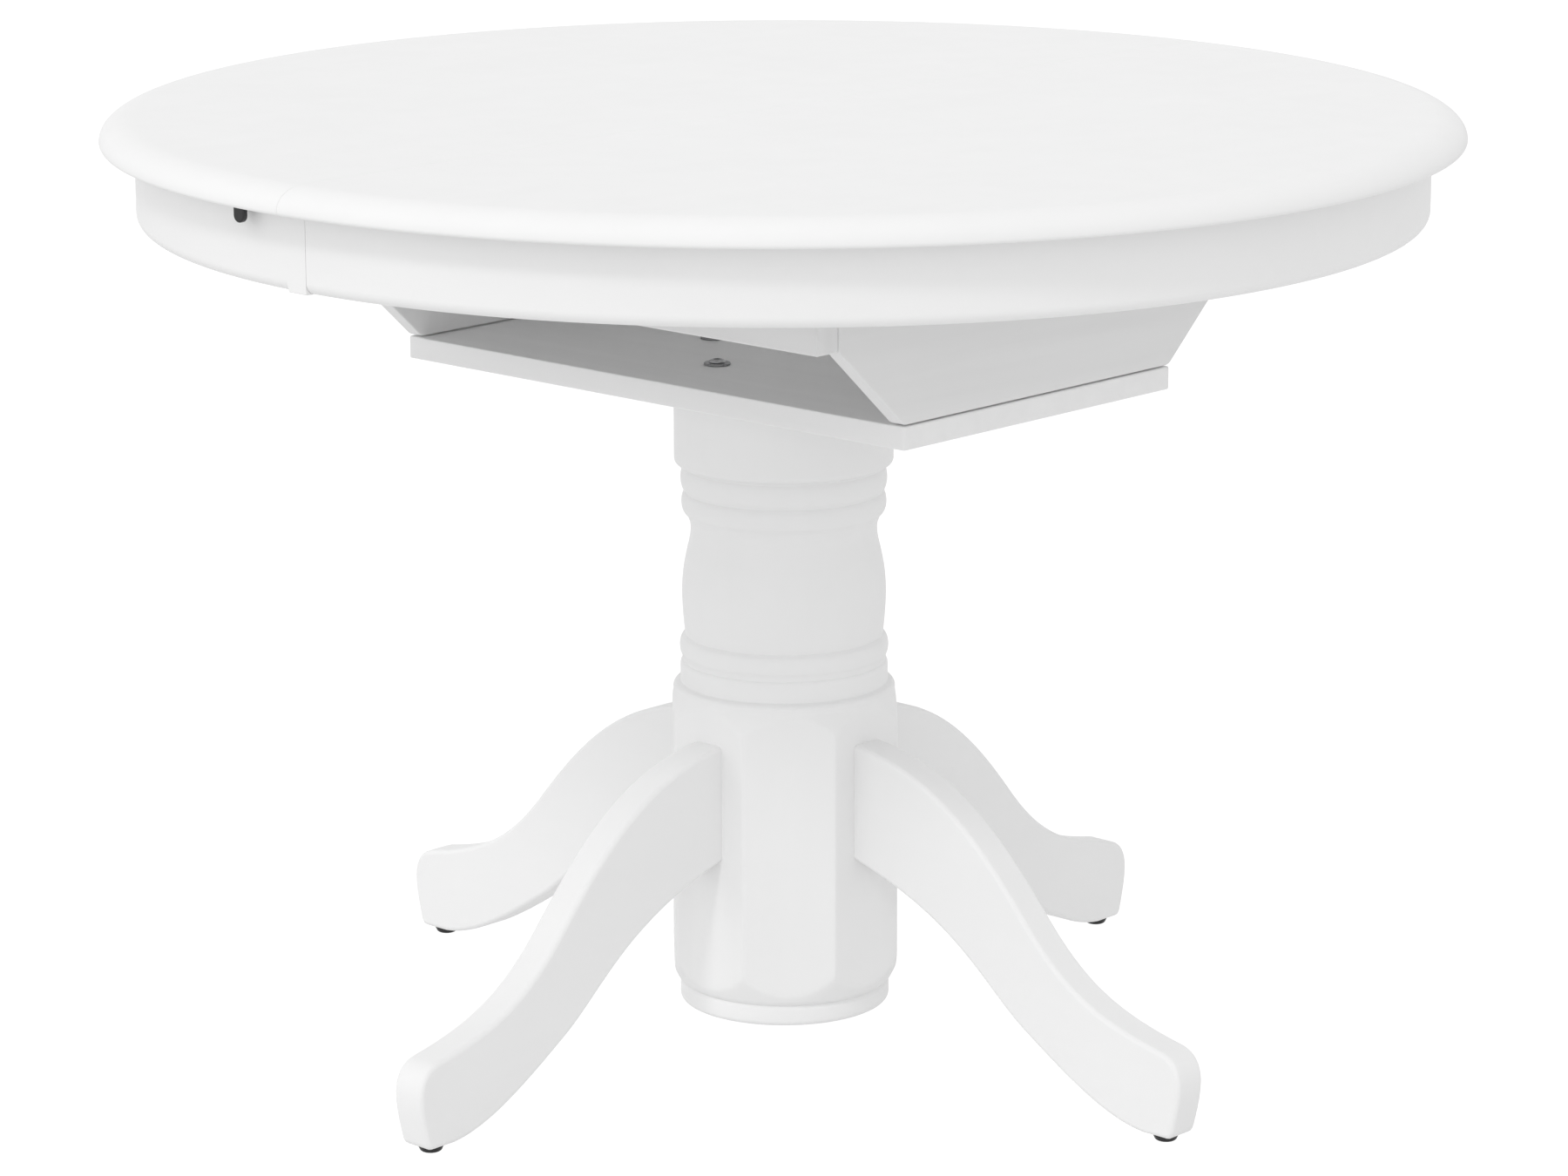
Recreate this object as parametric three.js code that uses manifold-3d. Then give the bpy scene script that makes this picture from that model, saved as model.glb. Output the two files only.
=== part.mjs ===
// Round pedestal dining table that extends with a folded leaf.
// Millimetres, +Z up. Origin on the floor under the middle of the column.
// The two half tops slide apart along X. The split between them lies on the YZ plane.
import * as THREE from 'three';
import { mergeVertices } from 'three/addons/utils/BufferGeometryUtils.js';
import Module from 'manifold-3d';

const wasm = await Module();
wasm.setup();

// Driving dimensions
const TOP_RADIUS = 530;
const TABLE_HEIGHT = 755;
const TOP_THICKNESS = 20;
const TOP_EDGE_RUN = 26; // width of the elliptical rounding on the upper edge
const TOP_EDGE_RADIUS_LOW = 3;
const SEAM = 0.4; // clear width of the split between the halves
const GAP = 0.3; // between faces that touch
const FIT = 0.3; // round a pin or bolt in its hole, on the radius
const TRAVEL = 195; // each half slides this far, so the leaf is twice as wide

const APRON_RADIUS = 503;
const APRON_THICKNESS = 16;
const APRON_BOTTOM = 674;
const APRON_CORNER = 8;

const PLATE = { x: 529, y: 311, thickness: 18, top: 561 };
const PLATE_BOLT_CIRCLE = 76;
const FRAME_HALF_LENGTH = 264; // rails and cross boards end at this x, flush with the plate
const RAIL = { inner: 227, outer: 250, bottom: 627, top: 731 };
const CROSS_BOARD = { thickness: 14, bottom: 562.2, top: 697.2, foot: 154, cornerCut: 6 };

const RUNNER = { width: 22, inner: 250.5, near: 235, far: 394, tongueStart: 41 };
const TONGUE = { depth: 9, height: 7.7 };
const GROOVE = { depth: 9.4, height: 9.1 };
const UPPER_RUNNER = { bottom: 706, top: 734.6, groove: 716.2 };
const LOWER_RUNNER = { bottom: 676, top: 703, groove: 688.2 };
const STOP_PIN_RADIUS = 4;

const LEAF = { length: 528, width: 384, thickness: 15.6, bottom: 697.6, spacing: 1 };

const LEG_THICKNESS = 30;
const LEG_ROOT = 89.4;
const LEG_SOLE = 6.2;
const GLIDE_OFFSET = 396;
const BLOCK_FLAT = 89; // axis to the flats of the octagonal block
const BORE_RADIUS = 45;
const BORE_TOP = 262;
const LEG_BOLT_HEIGHTS = [196, 234];

const LATCH = { pivotX: 61, pivotY: 450, reach: 96, swing: 12, bottom: 731, thickness: 3 };
const TAB = { half: 5.2, bottom: 721 };
const TOP_UNDERSIDE = TABLE_HEIGHT - TOP_THICKNESS;

// Materials
const finish = (color, roughness, metalness = 0) =>
  new THREE.MeshStandardMaterial({ color, roughness, metalness });
const whitePaint = finish(0xf0f0ee, 0.42);
const frameWood = finish(0xe6e6e3, 0.55);
const darkSteel = finish(0x26272a, 0.45, 0.8);
const brightSteel = finish(0xb9babd, 0.35, 0.9);
const blackPlastic = finish(0x111112, 0.5);

const table = new THREE.Group();

function addPiece(name, geometry, material) {
  const mesh = new THREE.Mesh(geometry, material);
  mesh.name = name;
  table.add(mesh);
  return mesh;
}

// Booleans
function toSolid(geometry) {
  const bare = geometry.clone();
  bare.deleteAttribute('normal');
  bare.deleteAttribute('uv');
  const merged = mergeVertices(bare, 1e-4);
  return new wasm.Manifold(new wasm.Mesh({
    numProp: 3,
    vertProperties: new Float32Array(merged.attributes.position.array),
    triVerts: new Uint32Array(merged.index.array),
  }));
}

function toGeometry(solid) {
  const mesh = solid.getMesh();
  const geometry = new THREE.BufferGeometry();
  geometry.setAttribute('position', new THREE.BufferAttribute(new Float32Array(mesh.vertProperties), 3));
  geometry.setIndex(new THREE.BufferAttribute(new Uint32Array(mesh.triVerts), 1));
  geometry.computeVertexNormals();
  return geometry;
}

const cut = (body, ...tools) => toGeometry(tools.reduce((s, t) => s.subtract(toSolid(t)), toSolid(body)));
const join = (body, ...others) => toGeometry(others.reduce((s, t) => s.add(toSolid(t)), toSolid(body)));
const common = (body, other) => toGeometry(toSolid(body).intersect(toSolid(other)));

// Shapes
function box(x0, x1, y0, y1, z0, z1) {
  const geometry = new THREE.BoxGeometry(x1 - x0, y1 - y0, z1 - z0);
  return geometry.translate((x0 + x1) / 2, (y0 + y1) / 2, (z0 + z1) / 2);
}

// A turned solid about Z. The profile is a list of [radius, height].
function turned(profile, segments) {
  const points = profile.map(([r, z]) => new THREE.Vector2(r, z));
  return new THREE.LatheGeometry(points, segments).rotateX(Math.PI / 2);
}

// A rod from one point to another.
function rod(from, to, radius, segments = 16) {
  const a = new THREE.Vector3(...from);
  const b = new THREE.Vector3(...to);
  const geometry = new THREE.CylinderGeometry(radius, radius, a.distanceTo(b), segments);
  const turn = new THREE.Quaternion().setFromUnitVectors(
    new THREE.Vector3(0, 1, 0), b.clone().sub(a).normalize());
  return geometry.applyQuaternion(turn).translate(...a.add(b).multiplyScalar(0.5).toArray());
}

function outline(points) {
  return new THREE.Shape(points.map(([x, y]) => new THREE.Vector2(x, y)));
}

// An outline drawn in (y, z), extruded along X from x0 to x1.
function alongX(shape, x0, x1) {
  const geometry = new THREE.ExtrudeGeometry(shape, { depth: x1 - x0, bevelEnabled: false });
  return geometry.rotateX(Math.PI / 2).rotateZ(Math.PI / 2).translate(x0, 0, 0);
}

// An outline drawn in (x, y), extruded up from z0 to z1.
function upright(shape, z0, z1) {
  return new THREE.ExtrudeGeometry(shape, { depth: z1 - z0, bevelEnabled: false }).translate(0, 0, z0);
}

const quarterArc = (cx, cz, rx, rz, from, to, steps) => {
  const points = [];
  for (let i = 0; i <= steps; i += 1) {
    const angle = THREE.MathUtils.degToRad(from + (to - from) * i / steps);
    points.push([cx + rx * Math.cos(angle), cz + rz * Math.sin(angle)]);
  }
  return points;
};

const turnAboutZ = (geometry, degrees) => geometry.rotateZ(THREE.MathUtils.degToRad(degrees));
const sideName = (side) => (side < 0 ? 'front' : 'back');

// ---------------------------------------------------------------- column
function makeColumn() {
  const columnTop = PLATE.top - PLATE.thickness - GAP;
  const profile = [
    [0, 29.5], [79, 29.5], [82.6, 30.6], [84.2, 33.5], [84.2, 44], [82.4, 45.2], [82.4, 46.8],
    [85.6, 48.2], [89, 55.5], [93.6, 64], [96.4, 73],
    [96.4, 268], [93.8, 275], [90.4, 281], [88.9, 286],
    ...quarterArc(84, 289.5, 4.9, 5, 0, 90, 4), [82.8, 295],
    [82.8, 308.5], [82, 311], [80.8, 313],
    ...quarterArc(79.2, 323.5, 3.9, 8.5, -62, 66, 6),
    [78.2, 334], [80.3, 350], [81.1, 366], [80.6, 381], [78.6, 394], [75.8, 407],
    [74.2, 417], [74.6, 423.5],
    ...quarterArc(76.4, 440, 4.9, 8.6, -62, 62, 6),
    ...quarterArc(77.6, 460, 4.2, 10.6, -58, 58, 6),
    [81.2, 471.5], [84.8, 473.2], [87, 477.5], [87, columnTop], [0, columnTop],
  ];
  const blockOutline = [];
  for (let i = 0; i < 8; i += 1) {
    const angle = THREE.MathUtils.degToRad(22.5 + 45 * i);
    const corner = BLOCK_FLAT / Math.cos(Math.PI / 8);
    blockOutline.push([corner * Math.cos(angle), corner * Math.sin(angle)]);
  }
  const body = common(turned(profile, 56), upright(outline(blockOutline), 0, TABLE_HEIGHT));
  const holes = [rod([0, 0, 0], [0, 0, BORE_TOP], BORE_RADIUS, 40)];
  for (const turn of [0, 90, 180, 270]) {
    const angle = THREE.MathUtils.degToRad(turn);
    const [dx, dy] = [Math.cos(angle), Math.sin(angle)];
    for (const z of LEG_BOLT_HEIGHTS) {
      holes.push(rod([BORE_RADIUS * 0.8 * dx, BORE_RADIUS * 0.8 * dy, z], [100 * dx, 100 * dy, z], 4 + FIT));
    }
    const [bx, by] = [PLATE_BOLT_CIRCLE * dx, PLATE_BOLT_CIRCLE * dy];
    holes.push(rod([bx, by, columnTop - 62], [bx, by, columnTop + 5], 4 + FIT));
  }
  return cut(body, ...holes);
}
addPiece('column', makeColumn(), whitePaint);

// ---------------------------------------------------------------- legs
// The side outline of a leg: x runs out from the column, y is height.
function legOutline() {
  const shape = new THREE.Shape();
  shape.moveTo(LEG_ROOT, 258);
  shape.bezierCurveTo(169.5, 250, 217, 205, 262, 153);
  shape.bezierCurveTo(300, 108, 330, 88, 400, 74.5);
  shape.quadraticCurveTo(418.5, 70, 419.5, 50);
  shape.lineTo(413, 11);
  shape.quadraticCurveTo(412, LEG_SOLE, 407, LEG_SOLE);
  shape.lineTo(384, LEG_SOLE);
  shape.bezierCurveTo(350, 9, 315, 29, 270, 58);
  shape.bezierCurveTo(223, 86.5, 202, 132.5, LEG_ROOT, 163.5);
  shape.closePath();
  return shape;
}

function makeLeg() {
  const bevel = 3;
  const slab = new THREE.ExtrudeGeometry(legOutline(), {
    depth: LEG_THICKNESS - 2 * bevel,
    curveSegments: 7,
    bevelEnabled: true,
    bevelThickness: bevel,
    bevelSize: bevel,
    bevelOffset: -bevel,
    bevelSegments: 2,
  });
  slab.translate(0, 0, bevel - LEG_THICKNESS / 2).rotateX(Math.PI / 2);
  const holes = LEG_BOLT_HEIGHTS.map((z) => rod([80, 0, z], [LEG_ROOT + 47, 0, z], 4 + FIT));
  holes.push(rod([GLIDE_OFFSET, 0, 0], [GLIDE_OFFSET, 0, 21], 2.5 + FIT, 12));
  return cut(slab, ...holes);
}

function makeGlide() {
  const profile = [
    [0, 0], [6.2, 0], ...quarterArc(6.2, 3.4, 3.6, 3.4, -60, 0, 3), [9.8, LEG_SOLE - GAP],
    [2.5, LEG_SOLE - GAP], [2.5, 20], [0, 20],
  ];
  return turned(profile, 20).translate(GLIDE_OFFSET, 0, 0);
}

// A connector bolt with a hexagonal head inside the bore of the column.
function makeLegBolt(z) {
  const head = rod([38.2, 0, z], [43.8, 0, z], 7, 6);
  const shank = rod([43, 0, z], [LEG_ROOT + 45, 0, z], 4, 12);
  return join(head, shank);
}

const LEG_PLACES = [['right', 0], ['back', 90], ['left', 180], ['front', 270]];
for (const [place, turn] of LEG_PLACES) {
  addPiece(`leg_${place}`, turnAboutZ(makeLeg(), turn), whitePaint);
  addPiece(`glide_${place}`, turnAboutZ(makeGlide(), turn), blackPlastic);
  addPiece(`leg_bolt_${place}_lower`, turnAboutZ(makeLegBolt(LEG_BOLT_HEIGHTS[0]), turn), brightSteel);
  addPiece(`leg_bolt_${place}_upper`, turnAboutZ(makeLegBolt(LEG_BOLT_HEIGHTS[1]), turn), brightSteel);
}

// ---------------------------------------------------------------- mounting plate and its bolts
const WASHER_THICKNESS = 1.6;
const washerBottom = PLATE.top + GAP;
const boltPlaces = LEG_PLACES.map(([place, turn]) => {
  const angle = THREE.MathUtils.degToRad(turn);
  return [place, PLATE_BOLT_CIRCLE * Math.cos(angle), PLATE_BOLT_CIRCLE * Math.sin(angle)];
});

addPiece('mounting_plate', cut(
  box(-PLATE.x / 2, PLATE.x / 2, -PLATE.y / 2, PLATE.y / 2, PLATE.top - PLATE.thickness, PLATE.top),
  ...boltPlaces.map(([, x, y]) => rod([x, y, PLATE.top - PLATE.thickness - 5], [x, y, PLATE.top + 5], 4.5)),
), frameWood);

for (const [place, x, y] of boltPlaces) {
  const washer = cut(
    rod([x, y, washerBottom], [x, y, washerBottom + WASHER_THICKNESS], 10.5, 28),
    rod([x, y, washerBottom - 5], [x, y, washerBottom + 5], 4.4),
  );
  addPiece(`plate_washer_${place}`, washer, darkSteel);
  const headBottom = washerBottom + WASHER_THICKNESS + GAP;
  const head = rod([x, y, headBottom], [x, y, headBottom + 3.2], 8, 24);
  const shank = rod([x, y, headBottom - 80], [x, y, headBottom + 1], 4, 12);
  const socket = rod([x, y, headBottom + 1.2], [x, y, headBottom + 5], 2.9, 6);
  addPiece(`plate_bolt_${place}`, cut(join(head, shank), socket), darkSteel);
}

// ---------------------------------------------------------------- cross boards and rails
function crossBoardOutline() {
  const { foot, cornerCut, bottom, top } = CROSS_BOARD;
  const shoulder = RAIL.inner - 0.5;
  const half = [
    [foot - cornerCut, bottom], [foot, bottom + 3], [shoulder, RAIL.bottom], [shoulder, top],
  ];
  const mirrored = half.map(([y, z]) => [-y, z]).reverse();
  return outline([...half, ...mirrored]);
}

for (const [place, side] of [['left', -1], ['right', 1]]) {
  const inner = side * (FRAME_HALF_LENGTH - CROSS_BOARD.thickness);
  const outer = side * FRAME_HALF_LENGTH;
  addPiece(`cross_board_${place}`,
    alongX(crossBoardOutline(), Math.min(inner, outer), Math.max(inner, outer)), frameWood);
}

const runnerLevels = { upper: UPPER_RUNNER, lower: LOWER_RUNNER };
// The upper runners belong to the left half and the lower ones to the right half.
const stopPinX = { upper: -(RUNNER.tongueStart + TRAVEL + STOP_PIN_RADIUS + GAP) };
stopPinX.lower = -stopPinX.upper;

for (const side of [-1, 1]) {
  const y = (value) => side * value;
  const grooves = Object.values(runnerLevels).map(({ groove }) => box(
    -FRAME_HALF_LENGTH - 5, FRAME_HALF_LENGTH + 5,
    Math.min(y(RAIL.outer - GROOVE.depth), y(RAIL.outer + 5)),
    Math.max(y(RAIL.outer - GROOVE.depth), y(RAIL.outer + 5)),
    groove - GROOVE.height / 2, groove + GROOVE.height / 2));
  const pinHoles = Object.entries(runnerLevels).map(([level, { groove }]) => rod(
    [stopPinX[level], y(RAIL.outer - 16), groove], [stopPinX[level], y(RAIL.outer), groove],
    STOP_PIN_RADIUS + FIT));
  const blank = box(-FRAME_HALF_LENGTH, FRAME_HALF_LENGTH,
    Math.min(y(RAIL.inner), y(RAIL.outer)), Math.max(y(RAIL.inner), y(RAIL.outer)), RAIL.bottom, RAIL.top);
  addPiece(`rail_${sideName(side)}`, cut(blank, ...grooves, ...pinHoles), frameWood);
  for (const [level, { groove }] of Object.entries(runnerLevels)) {
    addPiece(`stop_pin_${sideName(side)}_${level}`, rod(
      [stopPinX[level], y(RAIL.outer - 15), groove], [stopPinX[level], y(RAIL.outer - 1), groove],
      STOP_PIN_RADIUS), brightSteel);
  }
}

// ---------------------------------------------------------------- runners
// Each runner is a board with a tongue that slides in a groove of the rail.
function makeRunner(side, direction, { bottom, top, groove }) {
  const y0 = side * RUNNER.inner;
  const y1 = side * (RUNNER.inner + RUNNER.width);
  const tip = side * (RUNNER.inner - TONGUE.depth);
  const span = (a, b) => [Math.min(a, b), Math.max(a, b)];
  const board = box(...span(-direction * RUNNER.near, direction * RUNNER.far), ...span(y0, y1), bottom, top);
  const tongue = box(...span(-direction * RUNNER.near, direction * RUNNER.tongueStart),
    ...span(tip, y0 + side), groove - TONGUE.height / 2, groove + TONGUE.height / 2);
  return join(board, tongue);
}

for (const side of [-1, 1]) {
  addPiece(`runner_left_${sideName(side)}`, makeRunner(side, -1, UPPER_RUNNER), frameWood);
  addPiece(`runner_right_${sideName(side)}`, makeRunner(side, 1, LOWER_RUNNER), frameWood);
  const ys = [side * RUNNER.inner, side * (RUNNER.inner + RUNNER.width)].sort((a, b) => a - b);
  addPiece(`runner_riser_right_${sideName(side)}`,
    box(RUNNER.near + 20, RUNNER.far, ...ys, LOWER_RUNNER.top + GAP, TOP_UNDERSIDE - GAP), frameWood);
}

// ---------------------------------------------------------------- folded leaf
// Two wings, folded face to face on the cross boards, a quarter turn from their place in use.
function makeLeafWing(bottom) {
  const half = LEAF.length / 2;
  const radius = LEAF.thickness / 2;
  const profile = [
    [half, bottom], [half, bottom + LEAF.thickness],
    ...quarterArc(-half + radius, bottom + radius, radius, radius, 90, 270, 8),
  ];
  const slab = new THREE.ExtrudeGeometry(outline(profile), { depth: LEAF.width, bevelEnabled: false });
  return slab.rotateX(Math.PI / 2).translate(0, LEAF.width / 2, 0);
}

const wingBottoms = { lower: LEAF.bottom, upper: LEAF.bottom + LEAF.thickness + LEAF.spacing };
for (const [level, bottom] of Object.entries(wingBottoms)) {
  addPiece(`leaf_wing_${level}`, makeLeafWing(bottom), whitePaint);
}
for (const side of [-1, 1]) {
  const foldX = LEAF.length / 2 + 4.5;
  const foldZ = wingBottoms.upper - LEAF.spacing / 2;
  const y = side * 110;
  const barrel = rod([foldX, y - 32, foldZ], [foldX, y + 32, foldZ], 3.6, 16);
  const flange = box(LEAF.length / 2 + GAP, foldX, y - 32, y + 32, foldZ - 11, foldZ + 11);
  addPiece(`leaf_hinge_${sideName(side)}`, join(flange, barrel), brightSteel);
}

// ---------------------------------------------------------------- half tops
function topProfile() {
  const low = TOP_EDGE_RADIUS_LOW;
  const rise = TOP_THICKNESS - low;
  return [
    [0, TOP_UNDERSIDE], [TOP_RADIUS - low, TOP_UNDERSIDE],
    ...quarterArc(TOP_RADIUS - low, TOP_UNDERSIDE + low, low, low, -60, 0, 2),
    ...quarterArc(TOP_RADIUS - TOP_EDGE_RUN, TOP_UNDERSIDE + low, TOP_EDGE_RUN, rise, 12, 90, 7),
    [0, TABLE_HEIGHT],
  ];
}

const PIN_ROWS = [-300, 300];
const PIN_HEIGHT = TOP_UNDERSIDE + TOP_THICKNESS / 2;

// side is -1 for the left half and 1 for the right half.
function halfSpace(side) {
  const far = side * 600;
  const near = side * SEAM / 2;
  return box(Math.min(far, near), Math.max(far, near), -600, 600, 600, 800);
}

// The lever sits on the half with the same sign, the keeper on the other one.
// Both latches are the same piece, a half turn apart about Z.
const latchPivot = (side) => [side * LATCH.pivotX, side * LATCH.pivotY];
const latchKeeper = (side) => [-side * (LATCH.reach - LATCH.pivotX), side * LATCH.pivotY];

for (const [place, side] of [['left', -1], ['right', 1]]) {
  const pinHoles = PIN_ROWS.map((y) => rod([0, y, PIN_HEIGHT], [side * 21, y, PIN_HEIGHT], 4 + FIT));
  const [px, py] = latchPivot(side);
  const [kx, ky] = latchKeeper(-side);
  const screwHoles = [
    rod([px, py, TOP_UNDERSIDE - 5], [px, py, TOP_UNDERSIDE + 13], 3 + FIT),
    rod([kx, ky, TOP_UNDERSIDE - 5], [kx, ky, TOP_UNDERSIDE + 13], 3.5 + FIT),
  ];
  const half = common(turned(topProfile(), 144), halfSpace(side));
  addPiece(`top_half_${place}`, cut(half, ...pinHoles, ...screwHoles), whitePaint);
}
for (const y of PIN_ROWS) {
  addPiece(`alignment_pin_${sideName(y)}`, rod([-19, y, PIN_HEIGHT], [18, y, PIN_HEIGHT], 4), brightSteel);
}

// ---------------------------------------------------------------- aprons
function apronRing() {
  const inner = APRON_RADIUS - APRON_THICKNESS;
  const corner = APRON_CORNER;
  const top = TOP_UNDERSIDE - GAP;
  const profile = [
    [inner, APRON_BOTTOM],
    ...quarterArc(APRON_RADIUS - corner, APRON_BOTTOM + corner, corner, corner, -90, 0, 4),
    [APRON_RADIUS, top], [inner, top], [inner, APRON_BOTTOM],
  ];
  return turned(profile, 120);
}

const END_BLOCK = { width: 26, depth: 24, bottom: 678, top: 724 };

for (const [place, side] of [['left', -1], ['right', 1]]) {
  const [px] = latchPivot(side);
  const notchStart = px - side * 22;
  const notchEnd = px + side * 10;
  const notch = box(Math.min(notchStart, notchEnd), Math.max(notchStart, notchEnd),
    side < 0 ? -520 : 470, side < 0 ? -470 : 520, LATCH.bottom - 0.7, TOP_UNDERSIDE);
  addPiece(`apron_${place}`, cut(common(apronRing(), halfSpace(side)), notch), whitePaint);
  for (const end of [-1, 1]) {
    const outerY = APRON_RADIUS - APRON_THICKNESS - 1;
    const ys = [end * outerY, end * (outerY - END_BLOCK.depth)].sort((a, b) => a - b);
    const xs = [side * SEAM / 2, side * END_BLOCK.width].sort((a, b) => a - b);
    addPiece(`apron_block_${place}_${sideName(end)}`,
      box(...xs, ...ys, END_BLOCK.bottom, END_BLOCK.top), whitePaint);
  }
}

// ---------------------------------------------------------------- latches
// A cranked lever. Its hook arm swings onto a keeper peg, its tab hangs outside the apron.
function latchOutline() {
  const armHalf = 5;
  const headHalf = 9;
  const headStart = LATCH.reach - 10;
  const headEnd = LATCH.reach + 10;
  const slotHalf = 5.5;
  return outline([
    [-8, -8], [armHalf, -8], [armHalf + 6, -armHalf], [headStart - 6, -armHalf],
    [headStart, -headHalf], [headEnd, -headHalf], [headEnd, headHalf],
    [LATCH.reach + slotHalf, headHalf], [LATCH.reach + slotHalf, -4.5],
    [LATCH.reach - slotHalf, -4.5], [LATCH.reach - slotHalf, headHalf],
    [headStart, headHalf], [headStart - 6, armHalf], [10, armHalf], [8, 8], [-8, 8],
  ]);
}

function makeLatch(side) {
  const top = LATCH.bottom + LATCH.thickness;
  const hookArm = turnAboutZ(upright(latchOutline(), LATCH.bottom, top), -LATCH.swing);
  const tabArm = box(-6, 6, -61, 0, LATCH.bottom, top);
  const tabShape = new THREE.Shape();
  tabShape.moveTo(-TAB.half, top);
  tabShape.lineTo(-TAB.half, TAB.bottom + TAB.half);
  tabShape.absarc(0, TAB.bottom + TAB.half, TAB.half, Math.PI, 2 * Math.PI, false);
  tabShape.lineTo(TAB.half, top);
  const tab = new THREE.ExtrudeGeometry(tabShape, { depth: 2.5, bevelEnabled: false, curveSegments: 5 });
  tab.rotateX(Math.PI / 2).translate(0, -58.5, 0);
  const whole = join(hookArm, tabArm, tab);
  const lever = cut(whole, rod([0, 0, LATCH.bottom - 5], [0, 0, top + 5], 3 + FIT));
  lever.translate(-LATCH.pivotX, -LATCH.pivotY, 0);
  return side < 0 ? lever : turnAboutZ(lever, 180);
}

for (const [place, side] of [['front', -1], ['back', 1]]) {
  addPiece(`latch_lever_${place}`, makeLatch(side), darkSteel);
  const [px, py] = latchPivot(side);
  const headTop = LATCH.bottom - GAP;
  addPiece(`latch_pivot_${place}`, join(
    rod([px, py, headTop - 3], [px, py, headTop], 6.5, 20),
    rod([px, py, headTop - 1], [px, py, TOP_UNDERSIDE + 12], 3),
  ), brightSteel);
  const [kx, ky] = latchKeeper(side);
  addPiece(`latch_keeper_${place}`, join(
    rod([kx, ky, headTop - 3], [kx, ky, headTop], 5.5, 20),
    rod([kx, ky, headTop - 1], [kx, ky, TOP_UNDERSIDE + 12], 3.5),
  ), brightSteel);
}

export default table;
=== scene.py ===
"""Looks of the round extendable pedestal table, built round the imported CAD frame.

Lengths in the tables below are millimetres; every piece is made in metres in the row frame.
"""
import math

import bmesh
import bpy
import numpy as np
from mathutils import Matrix, Vector


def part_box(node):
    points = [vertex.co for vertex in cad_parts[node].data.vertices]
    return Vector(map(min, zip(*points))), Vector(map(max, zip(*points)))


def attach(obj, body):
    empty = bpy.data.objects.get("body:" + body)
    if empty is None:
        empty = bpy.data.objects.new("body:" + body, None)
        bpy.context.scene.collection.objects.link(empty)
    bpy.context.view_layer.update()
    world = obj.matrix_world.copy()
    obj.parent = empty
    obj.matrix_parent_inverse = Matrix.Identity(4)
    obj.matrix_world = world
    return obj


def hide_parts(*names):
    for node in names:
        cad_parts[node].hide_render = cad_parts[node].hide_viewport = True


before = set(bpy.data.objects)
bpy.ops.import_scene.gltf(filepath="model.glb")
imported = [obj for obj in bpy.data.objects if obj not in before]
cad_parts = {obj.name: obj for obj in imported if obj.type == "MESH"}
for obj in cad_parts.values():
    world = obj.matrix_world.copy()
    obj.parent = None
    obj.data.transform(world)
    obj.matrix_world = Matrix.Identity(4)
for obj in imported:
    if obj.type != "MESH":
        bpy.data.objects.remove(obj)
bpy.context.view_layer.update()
MM = 0.001

PEDESTAL, LEFT, RIGHT = "pedestal", "left_half", "right_half"
LATCH_BODY = {"front": "front_latch", "back": "back_latch"}
PLACES = {"right": 0, "back": 90, "left": 180, "front": 270}


def low(node):
    """Lowest corner of a CAD node, in millimetres."""
    return [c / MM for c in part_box(node)[0]]


def high(node):
    """Highest corner of a CAD node, in millimetres."""
    return [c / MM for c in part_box(node)[1]]


# ---------------------------------------------------------------- materials
class Tree:
    """A material's node tree with a Principled shader, and short calls for the usual nodes."""

    def __init__(self, name):
        self.material = bpy.data.materials.new(name)
        self.material.use_nodes = True
        self.nodes = self.material.node_tree.nodes
        self.links = self.material.node_tree.links
        self.nodes.clear()
        self.output = self.nodes.new("ShaderNodeOutputMaterial")
        self.shader = self.nodes.new("ShaderNodeBsdfPrincipled")
        self.links.new(self.shader.outputs["BSDF"], self.output.inputs["Surface"])
        self.coordinates = self.nodes.new("ShaderNodeTexCoord")

    def noise(self, scale, detail=3.0, stretch=(1, 1, 1), distortion=0.0):
        mapping = self.nodes.new("ShaderNodeMapping")
        mapping.inputs["Scale"].default_value = stretch
        self.links.new(self.coordinates.outputs["Object"], mapping.inputs["Vector"])
        noise = self.nodes.new("ShaderNodeTexNoise")
        noise.inputs["Scale"].default_value = scale
        noise.inputs["Detail"].default_value = detail
        noise.inputs["Distortion"].default_value = distortion
        self.links.new(mapping.outputs["Vector"], noise.inputs["Vector"])
        return noise.outputs["Fac"]

    def spread(self, value, start, end):
        """Maps a noise value onto start to end."""
        node = self.nodes.new("ShaderNodeMapRange")
        node.inputs["From Min"].default_value = 0.3
        node.inputs["From Max"].default_value = 0.7
        node.inputs["To Min"].default_value = start
        node.inputs["To Max"].default_value = end
        self.links.new(value, node.inputs["Value"])
        return node.outputs["Result"]

    def blend(self, value, first, second):
        """A colour between first and second."""
        node = self.nodes.new("ShaderNodeMix")
        node.data_type = "RGBA"
        node.inputs["A"].default_value = (*first, 1)
        node.inputs["B"].default_value = (*second, 1)
        self.links.new(value, node.inputs["Factor"])
        return node.outputs["Result"]

    def bump(self, value, depth, below=None):
        node = self.nodes.new("ShaderNodeBump")
        node.inputs["Strength"].default_value = 1.0
        node.inputs["Distance"].default_value = depth
        self.links.new(value, node.inputs["Height"])
        if below is not None:
            self.links.new(below, node.inputs["Normal"])
        return node.outputs["Normal"]

    def set(self, name, value):
        socket = self.shader.inputs[name]
        if isinstance(value, bpy.types.NodeSocket):
            self.links.new(value, socket)
        else:
            socket.default_value = value


def shade(color, factor):
    return tuple(c * factor for c in color)


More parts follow.
